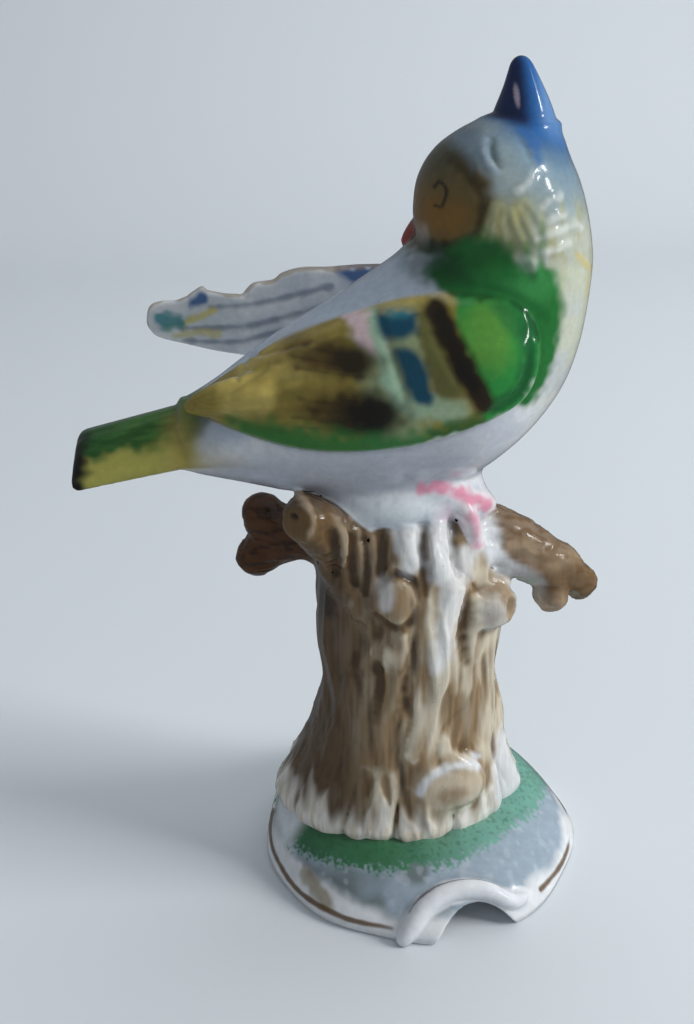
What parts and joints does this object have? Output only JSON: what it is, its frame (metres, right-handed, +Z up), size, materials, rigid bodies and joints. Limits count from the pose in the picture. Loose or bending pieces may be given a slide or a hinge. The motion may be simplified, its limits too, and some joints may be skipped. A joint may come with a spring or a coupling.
{
  "type": "porcelain bird figurine",
  "caption": "Glazed porcelain crested bird that preens with one wing spread, on a hollow tree stump with branch stubs and a low domed base with an arched notch.",
  "frame": {"origin": "middle of the base on the surface that the figurine stands on", "axes": "+Z up, +X the way the breast faces, +Y the bird's left side, where the spread wing is"},
  "size_m": [0.0747, 0.0513, 0.12],
  "materials": {
    "base_glaze": "glossy glaze, pale blue wash with a green ring and thin gold-brown lines",
    "bark_glaze": "glossy glaze, streaked brown over cream",
    "body_glaze": "glossy glaze, pale grey-lavender",
    "head_glaze": "glossy glaze, ochre to grey-blue",
    "crest_glaze": "glossy glaze, dark blue",
    "beak_glaze": "glossy glaze, dark red-brown",
    "near_wing_glaze": "glossy glaze, ochre, green and brown",
    "far_wing_glaze": "glossy glaze, white with blue and yellow touches",
    "tail_glaze": "glossy glaze, green and ochre with a blackish end",
    "foot_glaze": "glossy glaze, pink over white"
  },
  "bodies": {
    "root": {"base_plinth": "base_glaze", "stump": "bark_glaze", "left_branch": "bark_glaze", "right_branch": "bark_glaze", "left_knot": "bark_glaze", "right_boss": "bark_glaze", "bird_torso": "body_glaze", "bird_head": "head_glaze", "crest": "crest_glaze", "beak": "beak_glaze", "near_wing": "near_wing_glaze", "far_wing": "far_wing_glaze", "tail": "tail_glaze", "near_foot": "foot_glaze", "far_foot": "foot_glaze"}
  },
  "joints": []
}
